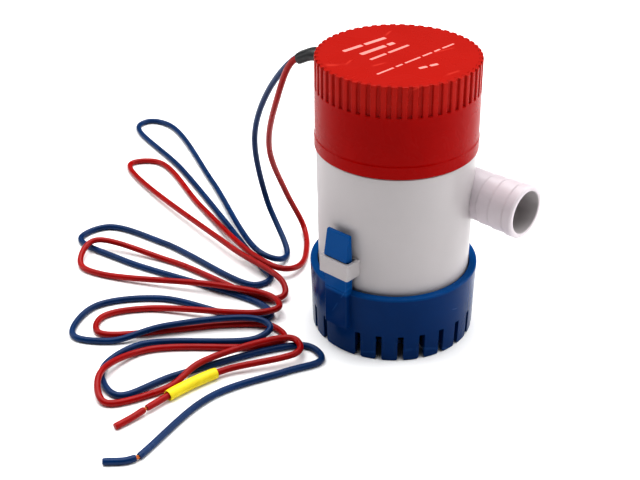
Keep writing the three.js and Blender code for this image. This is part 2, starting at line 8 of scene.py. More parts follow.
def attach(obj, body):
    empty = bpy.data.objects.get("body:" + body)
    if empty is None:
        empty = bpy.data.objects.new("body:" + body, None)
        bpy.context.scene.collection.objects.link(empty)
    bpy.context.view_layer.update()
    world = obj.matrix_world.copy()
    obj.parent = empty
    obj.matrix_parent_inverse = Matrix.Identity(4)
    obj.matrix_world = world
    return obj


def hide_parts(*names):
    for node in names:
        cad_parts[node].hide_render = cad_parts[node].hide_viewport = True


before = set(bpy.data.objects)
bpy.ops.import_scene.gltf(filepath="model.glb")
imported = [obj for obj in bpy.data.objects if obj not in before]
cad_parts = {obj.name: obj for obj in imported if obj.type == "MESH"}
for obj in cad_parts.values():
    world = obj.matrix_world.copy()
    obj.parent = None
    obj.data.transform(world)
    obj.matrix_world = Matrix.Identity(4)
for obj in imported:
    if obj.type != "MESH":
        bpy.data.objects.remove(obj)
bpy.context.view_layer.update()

MM = 0.001

# ---------- sizes of the CAD part, in millimetres and degrees ----------
BODY_LOW_R = 29.85
BODY_TOP_R = 30.6
BODY_INNER_R = 27
NECK_R = 28.9
RIBS = 52
RIB_DEPTH = 0.8
CAP_CEILING_Z = 112
NOZZLE_Y = 19
NOZZLE_Z = 57.8
NOZZLE_END_X = 48
NOZZLE_BORE_R = 8.4
SLOT_PITCH = 15
SLOT_WIDTH = 2.3
LATCHES = {"left": -90, "right": 90}
GLAND_DIRECTION = 190
GLAND_Z = 107
WIRE_D = 2.6
REST_Z = 1.4
OVER_Z = 4.5


# ---------- camera: metres and degrees, and millimetres for the lens and sensor ----------
CAMERA_PLACE = (0.2621, -0.3307, 0.2837)
CAMERA_PAN = 42.38
CAMERA_TILT = 59.51
CAMERA_ROLL = -0.495
LENS = 69.1
SENSOR = 36


def add_camera():
    data = bpy.data.cameras.new("camera")
    data.sensor_width = SENSOR
    data.lens = LENS
    camera = bpy.data.objects.new("camera", data)
    bpy.context.collection.objects.link(camera)
    pan = Matrix.Rotation(math.radians(CAMERA_PAN), 4, "Z")
    tilt = Matrix.Rotation(math.radians(CAMERA_TILT), 4, "X")
    roll = Matrix.Rotation(math.radians(CAMERA_ROLL), 4, "Z")
    camera.matrix_world = Matrix.Translation(CAMERA_PLACE) @ pan @ tilt @ roll
    bpy.context.scene.camera = camera


add_camera()


# ---------- material tools ----------
GRAIN_DEPTH = 0.00002  # in metres


class Shader:
    """A material's node tree, with short ways to add and join nodes."""

    def __init__(self, name):
        self.material = bpy.data.materials.new(name)
        self.material.use_nodes = True
        self.tree = self.material.node_tree
        self.surface = self.tree.nodes["Principled BSDF"]
        self.coords = self.add("ShaderNodeTexCoord").outputs["Object"]

    def add(self, kind, **inputs):
        """A new node. Each input is another node's output, or a plain value."""
        node = self.tree.nodes.new(kind)
        for key, value in inputs.items():
            socket = node.inputs[key.replace("_", " ")]
            if isinstance(value, bpy.types.NodeSocket):
                self.tree.links.new(value, socket)
            else:
                socket.default_value = value
        return node

    def link(self, output, socket):
        self.tree.links.new(output, self.surface.inputs[socket])

    def mapped(self, scale):
        return self.add("ShaderNodeMapping", Vector=self.coords, Scale=scale).outputs["Vector"]

    def noise(self, scale, detail=3, roughness=0.5, vector=None, distortion=0.0):
        node = self.add("ShaderNodeTexNoise", Vector=vector or self.coords, Scale=scale, Detail=detail)
        node.inputs["Roughness"].default_value = roughness
        node.inputs["Distortion"].default_value = distortion
        return node.outputs["Fac"]

    def ramp(self, value, low, high, start=0.0, end=1.0):
        """Spreads a value from low..high over start..end, and holds it there beyond them."""
        node = self.add("ShaderNodeMapRange", Value=value)
        for key, number in (("From Min", low), ("From Max", high), ("To Min", start), ("To Max", end)):
            node.inputs[key].default_value = number
        return node.outputs["Result"]

    def height(self):
        """The point's height above the floor."""
        return self.add("ShaderNodeSeparateXYZ", Vector=self.coords).outputs["Z"]

    def mix(self, share, first, second):
        node = self.tree.nodes.new("ShaderNodeMix")
        node.data_type = "RGBA"
        sockets = (node.inputs[0], node.inputs[6], node.inputs[7])
        for value, socket in zip((share, first, second), sockets):
            if isinstance(value, bpy.types.NodeSocket):
                self.tree.links.new(value, socket)
            else:
                socket.default_value = value
        return node.outputs[2]

    def math(self, operation, first, second):
        node = self.add("ShaderNodeMath")
        node.operation = operation
        for value, socket in zip((first, second), node.inputs):
            if isinstance(value, bpy.types.NodeSocket):
                self.tree.links.new(value, socket)
            else:
                socket.default_value = value
        return node.outputs[0]

    def bump(self, height, strength, distance, base=None):
        node = self.add("ShaderNodeBump", Height=height, Strength=strength, Distance=distance)
        if base:
            self.tree.links.new(base, node.inputs["Normal"])
        return node.outputs["Normal"]


def rgb(red, green, blue):
    """An 8-bit screen colour as a linear shader colour."""
    def linear(value):
        value /= 255
        return value / 12.92 if value <= 0.04045 else ((value + 0.055) / 1.055) ** 2.4

    return (linear(red), linear(green), linear(blue), 1.0)


def scratches(shader, scale, width, stretch, turn):
    """Thin, broken, slightly curved lines: 1 on a line, 0 elsewhere."""
    warp = shader.add("ShaderNodeTexNoise", Vector=shader.coords, Scale=18, Detail=1).outputs["Color"]
    bent = shader.add("ShaderNodeVectorMath")
    bent.operation = "MULTIPLY_ADD"
    shader.tree.links.new(warp, bent.inputs[0])
    bent.inputs[1].default_value = (0.012, 0.012, 0.012)
    shader.tree.links.new(shader.coords, bent.inputs[2])
    node = shader.add("ShaderNodeMapping", Vector=bent.outputs[0], Scale=stretch, Rotation=turn)
    cells = shader.add("ShaderNodeTexVoronoi", Vector=node.outputs["Vector"], Scale=scale)
    cells.feature = "DISTANCE_TO_EDGE"
    line = shader.ramp(cells.outputs["Distance"], 0.0, width, 1.0, 0.0)
    gaps = shader.ramp(shader.noise(90, 2), 0.52, 0.6)
    return shader.math("MULTIPLY", line, gaps)


def moulded(name, colour, shade, roughness, bump=0.12, grain=2600, marks=0.0, marks_from=-0.01, light=None,
            gloss=0.5, painted_top_light=None):
    """Moulded plastic: a faint cloudy tint, a fine grain, pale specks and a few hairline marks.

    Heights are in metres. The hairline marks show only above the height marks_from.
    The last argument, (low, high, share), is painted light: from the first height to the second, the plastic
    turns lighter by that share, a painted highlight standing in for the light from above.
    """
    shader = Shader(name)
    cloud = shader.ramp(shader.noise(35, 4, 0.55), 0.3, 0.7)
    tint = shader.mix(cloud, colour, shade)
    speck_mark_and_painted_light_colour = light or (*(min(1.0, channel * 1.5 + 0.02) for channel in colour[:3]), 1.0)
    specks = shader.ramp(shader.noise(1400, 3, 0.7), 0.68, 0.8)
    tint = shader.mix(shader.math("MULTIPLY", specks, 0.2), tint, speck_mark_and_painted_light_colour)
    cloudy = shader.noise(60, 5, 0.6, distortion=0.6)
    smears = shader.ramp(cloudy, 0.3, 0.75, roughness - 0.05, roughness + 0.09)
    normal = shader.bump(shader.noise(grain, 2, 0.5), bump, GRAIN_DEPTH)
    # painted light: the plastic is made lighter towards the top, where the light from above falls
    if painted_top_light:
        low, high, share = painted_top_light
        tint = shader.mix(shader.ramp(shader.height(), low, high, 0.0, share), tint, speck_mark_and_painted_light_colour)
    if marks:
        lines = scratches(shader, 26, 0.012, (1, 0.35, 1), (0, 0, 0.6))
        above = shader.ramp(shader.height(), marks_from, marks_from + 0.001)
        lines = shader.math("MULTIPLY", lines, above)
        tint = shader.mix(shader.math("MULTIPLY", lines, marks), tint, speck_mark_and_painted_light_colour)
        smears = shader.math("ADD", smears, shader.math("MULTIPLY", lines, 0.15))
        normal = shader.bump(lines, 0.25, -GRAIN_DEPTH, normal)
    shader.link(tint, "Base Color")
    shader.link(smears, "Roughness")
    shader.link(normal, "Normal")
    shader.surface.inputs["IOR"].default_value = 1.5
    shader.surface.inputs["Specular IOR Level"].default_value = gloss
    return shader.material


def metal(name, colour, shade, roughness, stretch=(1, 1, 0.05), grain=900, bump=0.2):
    """Worked metal: fine lines left by the tool, with tarnish between them."""
    shader = Shader(name)
    lines = shader.noise(grain, 3, 0.6, vector=shader.mapped(stretch))
    patches = shader.ramp(shader.noise(120, 4, 0.6), 0.35, 0.7)
    shader.link(shader.mix(patches, colour, shade), "Base Color")
    shader.link(shader.ramp(lines, 0.3, 0.7, roughness - 0.08, roughness + 0.12), "Roughness")
    shader.link(shader.bump(lines, bump, GRAIN_DEPTH), "Normal")
    shader.surface.inputs["Metallic"].default_value = 1.0
    return shader.material


def insulation(name, colour, shade, light):
    """Extruded PVC: glossy, with faint drawing waves, dust and lighter handling marks."""
    shader = Shader(name)
    cloud = shader.ramp(shader.noise(90, 4, 0.6), 0.3, 0.7)
    tint = shader.mix(cloud, colour, shade)
    dust = shader.ramp(shader.noise(700, 4, 0.7), 0.62, 0.78)
    tint = shader.mix(shader.math("MULTIPLY", dust, 0.3), tint, light)
    shader.link(tint, "Base Color")
    shader.link(shader.ramp(shader.noise(260, 4), 0.3, 0.75, 0.26, 0.46), "Roughness")
    shader.link(shader.bump(shader.noise(900, 3), 0.15, 2 * GRAIN_DEPTH), "Normal")
    shader.surface.inputs["Specular IOR Level"].default_value = 0.2
    return shader.material


# ---------- materials ----------
# painted light: the cap turns lighter from 101.5 mm up, over its ribs and top, where the light from above
# falls
CAP_RED = moulded("cap_red", rgb(150, 3, 1), rgb(142, 2, 1), 0.26, bump=0.08, marks=0.45, marks_from=0.1125,
                  light=rgb(206, 68, 54), gloss=0.05, painted_top_light=(0.1015, 0.107, 0.19))
BODY_WHITE = moulded("body_white", rgb(176, 171, 172), rgb(171, 166, 167), 0.34, bump=0.1,
                     light=rgb(226, 222, 222), gloss=0.4)
# painted light: a lighter copy of the body's white, standing in for the light on the nozzle
NOZZLE_PAINTED_LIGHT_WHITE = moulded("nozzle_painted_light_white", rgb(200, 191, 196), rgb(195, 186, 191), 0.36, bump=0.1,
                       light=rgb(230, 226, 226), gloss=0.4)
# painted light: the blue turns lighter from 27.4 mm up, so the base's rim and the whole latch arms look more
# lit
BASE_BLUE = moulded("base_blue", rgb(0, 45, 94), rgb(0, 40, 86), 0.2, bump=0.08, marks=0.12,
                    light=rgb(14, 92, 160), gloss=0.06, painted_top_light=(0.0274, 0.0288, 0.5))
INNER_GREY = moulded("inner_grey", rgb(128, 131, 135), rgb(112, 116, 120), 0.5)
IMPELLER_RED = moulded("impeller_red", rgb(180, 34, 26), rgb(160, 26, 20), 0.4)
PLATE_WHITE = moulded("plate_white", rgb(206, 202, 202), rgb(194, 190, 190), 0.45)
BLACK_RUBBER = moulded("black_rubber", rgb(26, 30, 32), rgb(16, 18, 20), 0.42, bump=0.3, grain=1500,
                       light=rgb(74, 84, 86))
RED_PVC = insulation("red_pvc", rgb(152, 3, 3), rgb(134, 2, 2), rgb(206, 62, 50))
BLUE_PVC = insulation("blue_pvc", rgb(0, 45, 92), rgb(0, 36, 76), rgb(40, 100, 160))
YELLOW_PVC = insulation("yellow_pvc", rgb(238, 218, 40), rgb(226, 200, 26), rgb(250, 240, 130))
PRINT_WHITE = moulded("print_white", rgb(230, 146, 138), rgb(220, 126, 118), 0.5, bump=0.2, grain=1800)
STEEL = metal("bright_steel", rgb(190, 192, 196), rgb(168, 170, 174), 0.26)
ZINC_STEEL = metal("zinc_steel", rgb(172, 176, 180), rgb(150, 152, 150), 0.36, stretch=(1, 1, 1), grain=400)
COPPER = metal("enamelled_copper", rgb(196, 112, 62), rgb(168, 84, 44), 0.3, stretch=(0.06, 0.06, 1),
               grain=2400, bump=0.6)
BRONZE = metal("sintered_bronze", rgb(166, 134, 84), rgb(140, 108, 66), 0.45, stretch=(1, 1, 1), grain=1600)
FERRITE = moulded("ferrite", rgb(56, 56, 60), rgb(42, 42, 46), 0.62, bump=0.35, grain=1100)
GRAPHITE = moulded("graphite", rgb(46, 46, 48), rgb(34, 34, 36), 0.48, bump=0.3, grain=1500)
CERAMIC = moulded("ceramic", rgb(176, 112, 48), rgb(150, 92, 38), 0.4, bump=0.2, grain=900)

NODE_MATERIALS = {
    "inlet_plate": PLATE_WHITE, "cap_seal_ring": BLACK_RUBBER, "motor_chamber": INNER_GREY,
    "shaft_seal": BLACK_RUBBER, "seal_retainer": STEEL, "motor_can": ZINC_STEEL, "motor_screw_left": STEEL,
    "motor_screw_right": STEEL, "magnet_left": FERRITE, "magnet_right": FERRITE, "magnet_clip": STEEL,
    "bearing_lower": BRONZE, "bearing_upper": BRONZE, "motor_end_bell": INNER_GREY, "motor_shaft": STEEL,
    "armature_core": ZINC_STEEL, "armature_coil_1": COPPER, "armature_coil_2": COPPER,
    "armature_coil_3": COPPER, "commutator": COPPER, "impeller": IMPELLER_RED, "brush_left": GRAPHITE,
    "brush_right": GRAPHITE, "brush_arm_left": COPPER, "brush_arm_right": COPPER, "terminal_left": BRONZE,
    "terminal_right": BRONZE, "suppressor_capacitor": CERAMIC, "potting_plug": BLACK_RUBBER,
    "lead_blue": BLUE_PVC, "lead_red": RED_PVC,
}


def dress(node_name, material):
    """Gives a carried-over CAD node its material."""
    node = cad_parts[node_name]
    if not node.material_slots:
        node.data.materials.append(material)
    for slot in node.material_slots:
        slot.material = material


for node_name, material in NODE_MATERIALS.items():
    dress(node_name, material)


# ---------- mesh tools ----------
WELD_NEAR = 1e-7
WELD_AFTER_CUTS = 2e-5


def made(name, points, faces, material=None):
    """A mesh object from points in millimetres."""
    mesh = bpy.data.meshes.new(name)
    mesh.from_pydata([Vector(point) * MM for point in points], [], faces)
    piece = bpy.data.objects.new(name, mesh)
    bpy.context.collection.objects.link(piece)
    tidy_mesh(piece, WELD_NEAR)
    if material:
        mesh.materials.append(material)
    return piece


def tidy_mesh(piece, near):
    """Welds points that are less than near apart, in metres, and turns all faces outwards."""
    work = bmesh.new()
    work.from_mesh(piece.data)
    bmesh.ops.remove_doubles(work, verts=work.verts, dist=near)
    bmesh.ops.dissolve_degenerate(work, edges=work.edges, dist=near)
    bmesh.ops.recalc_face_normals(work, faces=work.faces)
    work.to_mesh(piece.data)
    work.free()


def filleted(outline):
    """Rounds a closed outline's corners. Each corner is (x, y) or (x, y, radius)."""
    steps = 4
    result = []
    count = len(outline)
    for i, corner in enumerate(outline):
        point = Vector(corner[:2])
        radius = corner[2] if len(corner) > 2 else 0
        if not radius:
            result.append(tuple(point))
            continue
        before = (Vector(outline[i - 1][:2]) - point).normalized()
        after = (Vector(outline[(i + 1) % count][:2]) - point).normalized()
        half = before.angle(after) / 2
        reach = radius / math.tan(half)
        centre = point + (before + after).normalized() * (radius / math.sin(half))
        start = point + before * reach - centre
        end = point + after * reach - centre
        sweep = start.angle_signed(end)
        for step in range(steps + 1):
            share = step / steps
            turned_by = Matrix.Rotation(-sweep * share, 2)
            result.append(tuple(centre + turned_by @ start))
    return result


def lathed(name, outline, segments=192, material=None):
    """A solid turned about Z from a closed outline of (radius, z)."""
    points = []
    faces = []
    rows = len(outline)
    for i in range(segments):
        angle = 2 * math.pi * i / segments
        points += [(radius * math.cos(angle), radius * math.sin(angle), z) for radius, z in outline]
    for i in range(segments):
        here = i * rows
        there = (i + 1) % segments * rows
        for row in range(rows):
            after = (row + 1) % rows
            faces.append((here + row, there + row, there + after, here + after))
    return made(name, points, faces, material)


def extruded(name, outline, low, high, material=None):
    """A prism from a closed outline of (x, y)."""
    count = len(outline)
    points = [(x, y, low) for x, y in outline] + [(x, y, high) for x, y in outline]
    faces = [tuple(range(count - 1, -1, -1)), tuple(range(count, 2 * count))]
    faces += [(i, (i + 1) % count, (i + 1) % count + count, i + count) for i in range(count)]
    return made(name, points, faces, material)


def placed(piece, matrix):
    """Moves the piece's mesh itself, in metres."""
    piece.data.transform(matrix)
    return piece


def upright(direction):
    """Stands a prism whose outline is (distance from the axis, z) up, facing a direction."""
    return Matrix.Rotation(math.radians(direction), 4, "Z") @ Matrix.Rotation(math.pi / 2, 4, "X")


def baked(piece):
    """Applies all the modifiers to the mesh."""
    bpy.context.view_layer.update()
    graph = bpy.context.evaluated_depsgraph_get()
    mesh = bpy.data.meshes.new_from_object(piece.evaluated_get(graph))
    piece.modifiers.clear()
    piece.data = mesh
    return piece


def combined(piece, others, operation):
    """Adds the other solids to the piece or cuts them out of it, and removes them."""
    for other in others:
        modifier = piece.modifiers.new("join", "BOOLEAN")
        modifier.operation = operation
        modifier.solver = "EXACT"
        modifier.object = other
    baked(piece)
    for other in others:
        bpy.data.objects.remove(other)
    tidy_mesh(piece, WELD_AFTER_CUTS)
    return piece


def softened(piece, width, angle):
    """Rounds the edges that are sharper than angle."""
    modifier = piece.modifiers.new("edges", "BEVEL")
    modifier.width = width * MM
    modifier.segments = 3
    modifier.limit_method = "ANGLE"
    modifier.angle_limit = math.radians(angle)
    modifier.use_clamp_overlap = True
    return baked(piece)


def smoothed(piece, angle):
    """Shades the piece smooth, but for the edges that are sharper than angle."""
    piece.data.shade_smooth()
    piece.data.set_sharp_from_angle(angle=math.radians(angle))
    modifier = piece.modifiers.new("weights", "WEIGHTED_NORMAL")
    modifier.keep_sharp = True
    modifier.weight = 80
    return baked(piece)


# ---------- wires ----------
BLUE_ROUTE = [
    (-38.5, -5.55, 106), (-44.2, -7.3, 103.5), (-67, -1.5, 80), (-83, 6, 51), (-85, 14, 18),
    (-63.8, 4.9, 1.8), (-61.2, -3.3, 3.4), (-69.6, -6, 4.6), (-140, 31, REST_Z), (-204, 60.5, REST_Z),
    (-216, 57, REST_Z), (-215.5, 48.5, REST_Z), (-160, 29.5, REST_Z), (-65, -10.5, REST_Z),
    (-55, -14.5, REST_Z), (-56.5, -23, REST_Z), (-112, -25, REST_Z), (-143, -32.5, REST_Z),
    (-144, -47.5, REST_Z), (-115, -47, REST_Z), (-44, -31.8, REST_Z), (-35, -35, REST_Z),
    (-39.7, -42.4, REST_Z), (-79, -56.5, REST_Z), (-95, -79, REST_Z), (-85, -98, REST_Z),
    (-70.5, -90.5, REST_Z), (-59, -72.5, OVER_Z), (-35, -44.3, 4.7), (-26.9, -43.5, 3.9),
    (-27, -51.6, 2.5), (-60, -85, REST_Z), (-58, -105, REST_Z), (-41, -111.5, REST_Z),
    (-34, -88, REST_Z), (-10, -41, REST_Z), (1, -44, REST_Z), (-4, -58, REST_Z), (-14.5, -88, REST_Z),
    (-8.5, -129, REST_Z),
]
RED_ROUTE = [
    (-37.6, -8.45, 106), (-43.3, -10.2, 103.5), (-56, -7.2, 82), (-75, 7, 48), (-79, 21, 20),
    (-72, 25, 2.5), (-52, 1, 2.5), (-53, -9, OVER_Z), (-68, -9.7, OVER_Z), (-125, 9.5, REST_Z),
    (-176, 27, REST_Z), (-184.5, 16.5, REST_Z), (-84, -11, OVER_Z), (-46, -16.7, OVER_Z),
    (-40, -22.2, 2.6), (-46.2, -27.9, REST_Z), (-100, -34, REST_Z), (-133, -48.5, 4.9),
    (-124, -62.5, REST_Z), (-64, -36.5, OVER_Z), (-42, -28, OVER_Z), (-33.7, -31.3, OVER_Z),
    (-36.3, -39.7, 4.8), (-78, -66, REST_Z), (-86.5, -82, REST_Z), (-78.5, -90, REST_Z),
    (-43, -50.5, REST_Z), (-30, -40.3, REST_Z), (-19.5, -43, REST_Z), (-21.6, -51.6, REST_Z),
    (-56, -87, REST_Z), (-53, -110, OVER_Z), (-41, -117.5, REST_Z), (-30.5, -96, REST_Z),
    (-29.8, -79, OVER_Z), (-14.5, -44, OVER_Z), (-6.8, -48.3, 4.2), (-21.5, -75, 2.5),
    (-25.3, -92, 2.3), (-26.2, -110, 2.3),
]
BLUE_END = [(-8.7, -130, 1.5), (-10.5, -133.5, REST_Z), (-16, -139, REST_Z)]
RED_END = [(-26.25, -111, 2.25), (-26.5, -116, 1.8), (-27.5, -124, REST_Z)]
SLEEVE_ROUTE = [(-23.6, -4.16, GLAND_Z), (-31, -5.47, GLAND_Z), (-36.5, -6.5, 106.8), (-42, -8.2, 104.3)]


def smooth_line(route, steps, floor=-1e9):
    """A centripetal Catmull-Rom spline through the route, which never goes below the floor."""
    corners = [Vector(corner) for corner in route]
    corners = [2 * corners[0] - corners[1]] + corners + [2 * corners[-1] - corners[-2]]
    line = []
    for before, start, end, after in zip(corners, corners[1:], corners[2:], corners[3:]):
        gaps = [math.sqrt((b - a).length) for a, b in ((before, start), (start, end), (end, after))]
        leave = (start - before) / gaps[0] - (end - before) / (gaps[0] + gaps[1]) + (end - start) / gaps[1]
        arrive = (end - start) / gaps[1] - (after - start) / (gaps[1] + gaps[2]) + (after - end) / gaps[2]
        leave *= gaps[1]
        arrive *= gaps[1]
        for step in range(steps):
            t = step / steps
            line.append(
                start + leave * t + (-3 * start + 3 * end - 2 * leave - arrive) * t**2
                + (2 * start - 2 * end + leave + arrive) * t**3
            )
    line.append(corners[-2])
    return [Vector((point.x, point.y, max(point.z, floor))) for point in line]


def evened(line, gap):
    """The same line with its points a steady gap apart."""
    result = [line[0].copy()]
    left = gap
    for start, end in zip(line, line[1:]):
        span = (end - start).length
        at = left
        while at < span:
            result.append(start.lerp(end, at / span))
            at += gap
        left = at - span
    if (result[-1] - line[-1]).length < gap / 2:
        result.pop()
    result.append(line[-1].copy())
    return result


def relaxed(line, rounds, floor):
    """Takes small kinks out of a line and keeps its ends."""
    for _ in range(rounds):
        middle = [
            (before + 2 * here + after) / 4 for before, here, after in zip(line, line[1:], line[2:])
        ]
        line = [line[0]] + middle + [line[-1]]
    return [Vector((point.x, point.y, max(point.z, floor))) for point in line]


def swept(name, line, sections, material):
    """A skin over sections carried along a line, closed by a flat face at each end.

    Each section is the index of its point on the line, and its outline [(x, y), ...].
    """
    frames = []
    side = Vector((0, 0, 1))
    for i, point in enumerate(line):
        ahead = (line[min(i + 1, len(line) - 1)] - line[max(i - 1, 0)]).normalized()
        side = (side - ahead * side.dot(ahead)).normalized()
        frames.append((point, side, ahead.cross(side)))
    points = []
    faces = []
    count = len(sections[0][1])
    for at, section in sections:
        origin, up, across = frames[at]
        points += [origin + up * x + across * y for x, y in section]
    rows = len(sections)
    for row in range(rows - 1):
        for i in range(count):
            after = (i + 1) % count
            here = row * count
            faces.append((here + i, here + after, here + count + after, here + count + i))
    faces.append(tuple(range(count)))
    faces.append(tuple(range(rows * count - 1, (rows - 1) * count - 1, -1)))
    return made(name, points, faces, material)


def ring_points(radius, count=14):
    return [(radius * math.cos(2 * math.pi * i / count), radius * math.sin(2 * math.pi * i / count))
            for i in range(count)]


def wire(name, line, material):
    """A round wire, slightly narrowed at its ends."""
    radius = WIRE_D / 2
    last = len(line) - 1
    sections = [(i, ring_points(radius * 0.86 if i in (0, last) else radius)) for i in range(last + 1)]
    return smoothed(swept(name, line, sections, material), 50)


def wire_line(route):
    """A wire's centre line, with its points 1.1 mm apart."""
    line = evened(smooth_line(route, 24, REST_Z), 1.1)
    return relaxed(line, 3, REST_Z)


def closed_as_ring(piece):
    """Takes off the two end faces of a sweep that comes back to its first mouth, and joins their rims."""
    work = bmesh.new()
    work.from_mesh(piece.data)
    bmesh.ops.delete(work, geom=[face for face in work.faces if len(face.verts) > 4], context="FACES_ONLY")
    rim = [edge for edge in work.edges if edge.is_boundary]
    bmesh.ops.bridge_loops(work, edges=rim)
    bmesh.ops.recalc_face_normals(work, faces=work.faces)
    work.to_mesh(piece.data)
    work.free()
    return piece


CORDS = {}
for name, route, material in (("blue", BLUE_ROUTE, BLUE_PVC), ("red", RED_ROUTE, RED_PVC)):
    line = wire_line(route)
    piece = wire(f"{name}_wire_skin", line, material)
    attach(piece, "pump")
    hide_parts(f"{name}_wire")
    CORDS[name] = (piece, line)


def strands(name, line, material):
    """Bare stranded copper that shows in a gap of the insulation: seven thin threads, slightly twisted."""
    piece = None
    core = evened(line, 0.3)
    for k in range(7):
        reach = 0 if k == 6 else 0.5
        sections = []
        for i in range(len(core)):
            turn = 2 * math.pi * (k / 6) + 0.12 * i
            centre = (reach * math.cos(turn), reach * math.sin(turn))
            sections.append((i, [(centre[0] + x, centre[1] + y) for x, y in ring_points(0.24, 8)]))
        thread = swept(f"{name}_{k}", core, sections, material)
        if piece is None:
            piece = thread
        else:
            joined_meshes(piece, thread)
    piece.name = name
    return smoothed(piece, 50)


def joined_meshes(piece, other):
    """Adds another object's mesh to the piece, and removes the other object."""
    work = bmesh.new()
    work.from_mesh(piece.data)
    work.from_mesh(other.data)
    work.to_mesh(piece.data)
    work.free()
    bpy.data.objects.remove(other)


WIRE_EXTRAS = {"blue": [], "red": []}
for name, route, material in (("blue", BLUE_END, BLUE_PVC), ("red", RED_END, RED_PVC)):
    slug_line = evened(smooth_line(route, 12, REST_Z), 0.9)
    slug = wire(f"{name}_end_slug", slug_line, material)
    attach(slug, "pump")
    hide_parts(f"{name}_end_sleeve")
    wire_end = CORDS[name][1][-1]
    inside = CORDS[name][1][-3]
    bridge = [inside, wire_end, slug_line[0], slug_line[2]]
    core = strands(f"{name}_strands", smooth_line(bridge, 4), COPPER)
    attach(core, "pump")
    WIRE_EXTRAS[name] += [slug, core]


TAG_START = (-22.3, -78, 2.45)
TAG_END = (-26, -101, 2.3)


def nearest(line, place):
    """The index of the line's point that is nearest to a place."""
    return min(range(len(line)), key=lambda i: (line[i] - Vector(place)).length)


def tag_sleeve():
    """The loose yellow sleeve, slightly narrowed at both mouths."""
    line = CORDS["red"][1]
    part = line[nearest(line, TAG_START):nearest(line, TAG_END)]
    last = len(part) - 1
    profile = [(i, 2.2 - (0.14 if i in (0, last) else 0)) for i in range(last + 1)]
    profile += [(i, 1.62 + (0.1 if i in (0, last) else 0)) for i in range(last, -1, -1)]
    sections = [(i, ring_points(radius, 24)) for i, radius in profile]
    return smoothed(closed_as_ring(swept("yellow_sleeve_skin", part, sections, YELLOW_PVC)), 45)


tag = tag_sleeve()
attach(tag, "pump")
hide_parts("yellow_tag_sleeve")
WIRE_EXTRAS["red"].append(tag)


# ---------- cable sleeve ----------
def oval(width, height, count=10):
    """A slot-shaped outline with round ends, wide along the second axis."""
    half = (width - height) / 2
    points = []
    for side in (1, -1):
        for i in range(count + 1):
            angle = math.pi * i / count + (0 if side > 0 else math.pi)
            points.append((height / 2 * math.cos(angle), side * half + height / 2 * math.sin(angle)))
    return points


def cable_sleeve():
    line = evened(smooth_line(SLEEVE_ROUTE, 12), 0.55)
    last = len(line) - 1
    sections = [(0, oval(6.5, 3.6)), (0, oval(7.3, 4.4))]
    sections += [(i, oval(7.3, 4.4)) for i in range(1, last)]
    sections += [(last, oval(7.1, 4.2)), (last, oval(6.6, 3.7))]
    sections += [(i, oval(6.5, 3.6)) for i in range(last - 1, 0, -1)]
    return smoothed(closed_as_ring(swept("cable_sleeve_skin", line, sections, BLACK_RUBBER)), 45)


sleeve = cable_sleeve()
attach(sleeve, "pump")
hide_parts("cable_sleeve")


# ---------- motor cap ----------
def rise(value, low, high):
    """Goes smoothly from 0 to 1 as the value goes from low to high."""
    share = min(1.0, max(0.0, (value - low) / (high - low)))
    return share * share * (3 - 2 * share)


def motor_cap():
    """A turned shell whose columns are drawn in where a groove runs between two ribs."""
    inside = [(0, CAP_CEILING_Z), (28.3, CAP_CEILING_Z, 1), (28.3, 92.8), (29.25, 92.7)]
    outside = [
        (29.25, 78.7, 0.3), (31.28, 78.7, 0.35), (31.28, 83.5, 0.12), (31.08, 83.75, 0.08),
    ]
    wall = [(31.07, 84.5), (31.05, 93), (31.04, 102.2)]
    steps = [102.5, 102.62, 102.74, 102.86, 103, 103.2, 105, 108, 111, 113.4]
    ribs = [(31.02, z) for z in steps]
    edge = []
    for degrees in (0, 18, 36, 54, 72, 90):
        angle = math.radians(degrees)
        edge.append((31.0 - 0.5 + 0.5 * math.cos(angle), 114.0 + 0.5 * math.sin(angle)))
    top = [(30.1, 114.5), (29.6, 114.5), (28, 114.5), (20, 114.47), (10, 114.45), (0, 114.45)]
    outline = filleted(inside + outside) + wall + ribs + edge + top
    # shares of one rib's pitch: the crown takes the first half, and the groove the second
    shares = [
        0, 0.03, 0.07, 0.15, 0.3, 0.42, 0.47, 0.5, 0.53, 0.56, 0.59, 0.65, 0.74, 0.84, 0.9, 0.935, 0.965,
    ]
    columns = [2 * math.pi * (rib + share) / RIBS for rib in range(RIBS) for share in shares]
    depths = []
    for share in shares:
        groove = rise(share, 0.5, 0.58) * (1 - rise(share, 0.925, 1.0))
        crown = 0.1 * (1 - min(1.0, share / 0.08)) + 0.1 * max(0.0, 1 - abs(share - 0.505) / 0.06)
        depths.append(RIB_DEPTH * groove + crown)
    points = []
    for i, angle in enumerate(columns):
        depth = depths[i % len(shares)]
        for radius, z in outline:
            low = rise(z, 102.45, 102.95)
            near_edge = rise(radius, 29.6, 30.3)
            reach = radius - depth * low * near_edge
            points.append((reach * math.cos(angle), reach * math.sin(angle), z))
    rows = len(outline)
    faces = []
    for i in range(len(columns)):
        here = i * rows
        there = (i + 1) % len(columns) * rows
        for row in range(rows - 1):
            faces.append((here + row, there + row, there + row + 1, here + row + 1))
    piece = made("motor_cap_skin", points, faces, CAP_RED)
    hole = extruded("hole", oval(8.0, 5.1, 12), 25.5, 36)
    turn = Matrix.Rotation(math.radians(GLAND_DIRECTION), 4, "Z")
    lift = Matrix.Translation((0, 0, GLAND_Z * MM))
    placed(hole, turn @ lift @ Matrix.Rotation(math.pi / 2, 4, "Y"))
    combined(piece, [hole], "DIFFERENCE")
    return smoothed(piece, 50)


cap = motor_cap()
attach(cap, "pump")
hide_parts("motor_cap")

